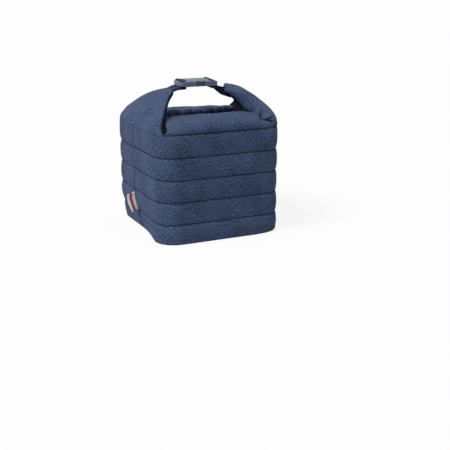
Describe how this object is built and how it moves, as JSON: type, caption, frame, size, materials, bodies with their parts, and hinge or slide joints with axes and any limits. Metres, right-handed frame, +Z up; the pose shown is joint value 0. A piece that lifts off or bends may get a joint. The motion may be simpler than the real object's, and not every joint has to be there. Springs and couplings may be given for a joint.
{
  "type": "insulated lunch bag",
  "caption": "Square quilted cooler bag with a fold-in collar whose two side wings join in a side-release buckle to make the carry handle.",
  "frame": {"origin": "middle of the flat underside of the base", "axes": "+Z up; the front with the front flap faces -Y; the side label and the buckle's socket are on the -X side"},
  "size_m": [0.199, 0.1934, 0.2084],
  "materials": {
    "quilted_cloth": "heathered navy weave",
    "base_cloth": "heathered navy weave",
    "facing_cloth": "plain dark navy weave",
    "wadding": "closed-cell foam wadding",
    "cooler_film": "satin silver-grey film",
    "base_board": "thin stiff sheet",
    "webbing": "dark woven webbing",
    "label_tape": "white woven tape",
    "buckle_resin": "moulded slate blue"
  },
  "bodies": {
    "bag": {"base_panel": "base_cloth", "base_board": "base_board", "base_wadding": "wadding", "lining_floor": "cooler_film", "outer_wall": "quilted_cloth", "wall_wadding": "wadding", "wall_lining": "cooler_film", "side_label": "label_tape", "left_front_pleat": "quilted_cloth", "left_back_pleat": "quilted_cloth", "right_front_pleat": "quilted_cloth", "right_back_pleat": "quilted_cloth"},
    "left_wing": {"left_wing_cloth": "quilted_cloth", "left_wing_wadding": "wadding", "left_wing_lining": "facing_cloth", "left_webbing": "webbing"},
    "right_wing": {"right_wing_cloth": "quilted_cloth", "right_wing_wadding": "wadding", "right_wing_lining": "facing_cloth", "right_webbing": "webbing"},
    "front_flap": {"front_flap_cloth": "quilted_cloth", "front_flap_wadding": "wadding", "front_flap_lining": "facing_cloth"},
    "back_flap": {"back_flap_cloth": "quilted_cloth", "back_flap_wadding": "wadding", "back_flap_lining": "facing_cloth"},
    "left_front_gusset": {"left_front_gusset": "quilted_cloth"},
    "left_back_gusset": {"left_back_gusset": "quilted_cloth"},
    "right_front_gusset": {"right_front_gusset": "quilted_cloth"},
    "right_back_gusset": {"right_back_gusset": "quilted_cloth"},
    "buckle_socket": {"buckle_socket": "buckle_resin"},
    "buckle_plug": {"buckle_plug": "buckle_resin"},
    "latch_arm_front": {"latch_arm_front": "buckle_resin"},
    "latch_arm_back": {"latch_arm_back": "buckle_resin"}
  },
  "joints": [
    {"name": "collar_open", "type": "hinge", "parent": "bag", "child": "left_wing", "pos_m": [-0.0848, 0, 0.1527], "axis": [0, -1, 0], "range_deg": [0, 66]},
    {"name": "right_wing_hinge", "type": "hinge", "parent": "bag", "child": "right_wing", "pos_m": [0.0848, 0, 0.1527], "axis": [0, 1, 0], "range_deg": [0, 66]},
    {"name": "front_flap_hinge", "type": "hinge", "parent": "bag", "child": "front_flap", "pos_m": [0, -0.0883, 0.1527], "axis": [1, 0, 0], "range_deg": [0, 78]},
    {"name": "back_flap_hinge", "type": "hinge", "parent": "bag", "child": "back_flap", "pos_m": [0, 0.0883, 0.1527], "axis": [-1, 0, 0], "range_deg": [0, 78]},
    {"name": "socket_swivel", "type": "hinge", "parent": "left_wing", "child": "buckle_socket", "pos_m": [-0.0216, 0, 0.204], "axis": [0, 1, 0], "range_deg": [0, 66], "deforming": ["left_webbing"]},
    {"name": "plug_swivel", "type": "hinge", "parent": "right_wing", "child": "buckle_plug", "pos_m": [0.0216, 0, 0.204], "axis": [0, -1, 0], "range_deg": [0, 66], "deforming": ["right_webbing"]},
    {"name": "latch_squeeze", "type": "hinge", "parent": "buckle_plug", "child": "latch_arm_front", "pos_m": [0.0158, -0.0115, 0.204], "axis": [0, 0, -1], "range_deg": [0, 11], "stiffness_Nm_per_rad": 0.02, "deforming": ["latch_arm_front"]},
    {"name": "latch_squeeze_back", "type": "hinge", "parent": "buckle_plug", "child": "latch_arm_back", "pos_m": [0.0158, 0.0115, 0.204], "axis": [0, 0, 1], "range_deg": [0, 11], "stiffness_Nm_per_rad": 0.02, "deforming": ["latch_arm_back"]},
    {"name": "left_front_gusset_fold", "type": "hinge", "parent": "left_wing", "child": "left_front_gusset", "pos_m": [-0.0848, -0.079, 0.1527], "axis": [-0.5267, -0.7067, -0.4724], "range_deg": [0, 150], "deforming": ["left_front_gusset"]},
    {"name": "left_back_gusset_fold", "type": "hinge", "parent": "left_wing", "child": "left_back_gusset", "pos_m": [-0.0848, 0.079, 0.1527], "axis": [0.5267, -0.7067, 0.4724], "range_deg": [0, 150], "deforming": ["left_back_gusset"]},
    {"name": "right_front_gusset_fold", "type": "hinge", "parent": "right_wing", "child": "right_front_gusset", "pos_m": [0.0848, -0.079, 0.1527], "axis": [-0.4618, 0.7392, 0.4903], "range_deg": [0, 150], "deforming": ["right_front_gusset"]},
    {"name": "right_back_gusset_fold", "type": "hinge", "parent": "right_wing", "child": "right_back_gusset", "pos_m": [0.0848, 0.079, 0.1527], "axis": [0.4618, 0.7392, -0.4903], "range_deg": [0, 150], "deforming": ["right_back_gusset"]}
  ],
  "couplings": [
    {"joint": "right_wing_hinge", "follows": "collar_open", "ratio": 1},
    {"joint": "front_flap_hinge", "follows": "collar_open", "ratio": 1.1818},
    {"joint": "back_flap_hinge", "follows": "collar_open", "ratio": 1.1818},
    {"joint": "socket_swivel", "follows": "collar_open", "ratio": 1},
    {"joint": "plug_swivel", "follows": "collar_open", "ratio": 1},
    {"joint": "left_front_gusset_fold", "follows": "collar_open", "ratio": 2.2727},
    {"joint": "left_back_gusset_fold", "follows": "collar_open", "ratio": 2.2727},
    {"joint": "right_front_gusset_fold", "follows": "collar_open", "ratio": 2.2727},
    {"joint": "right_back_gusset_fold", "follows": "collar_open", "ratio": 2.2727},
    {"joint": "latch_squeeze_back", "follows": "latch_squeeze", "ratio": 1}
  ]
}
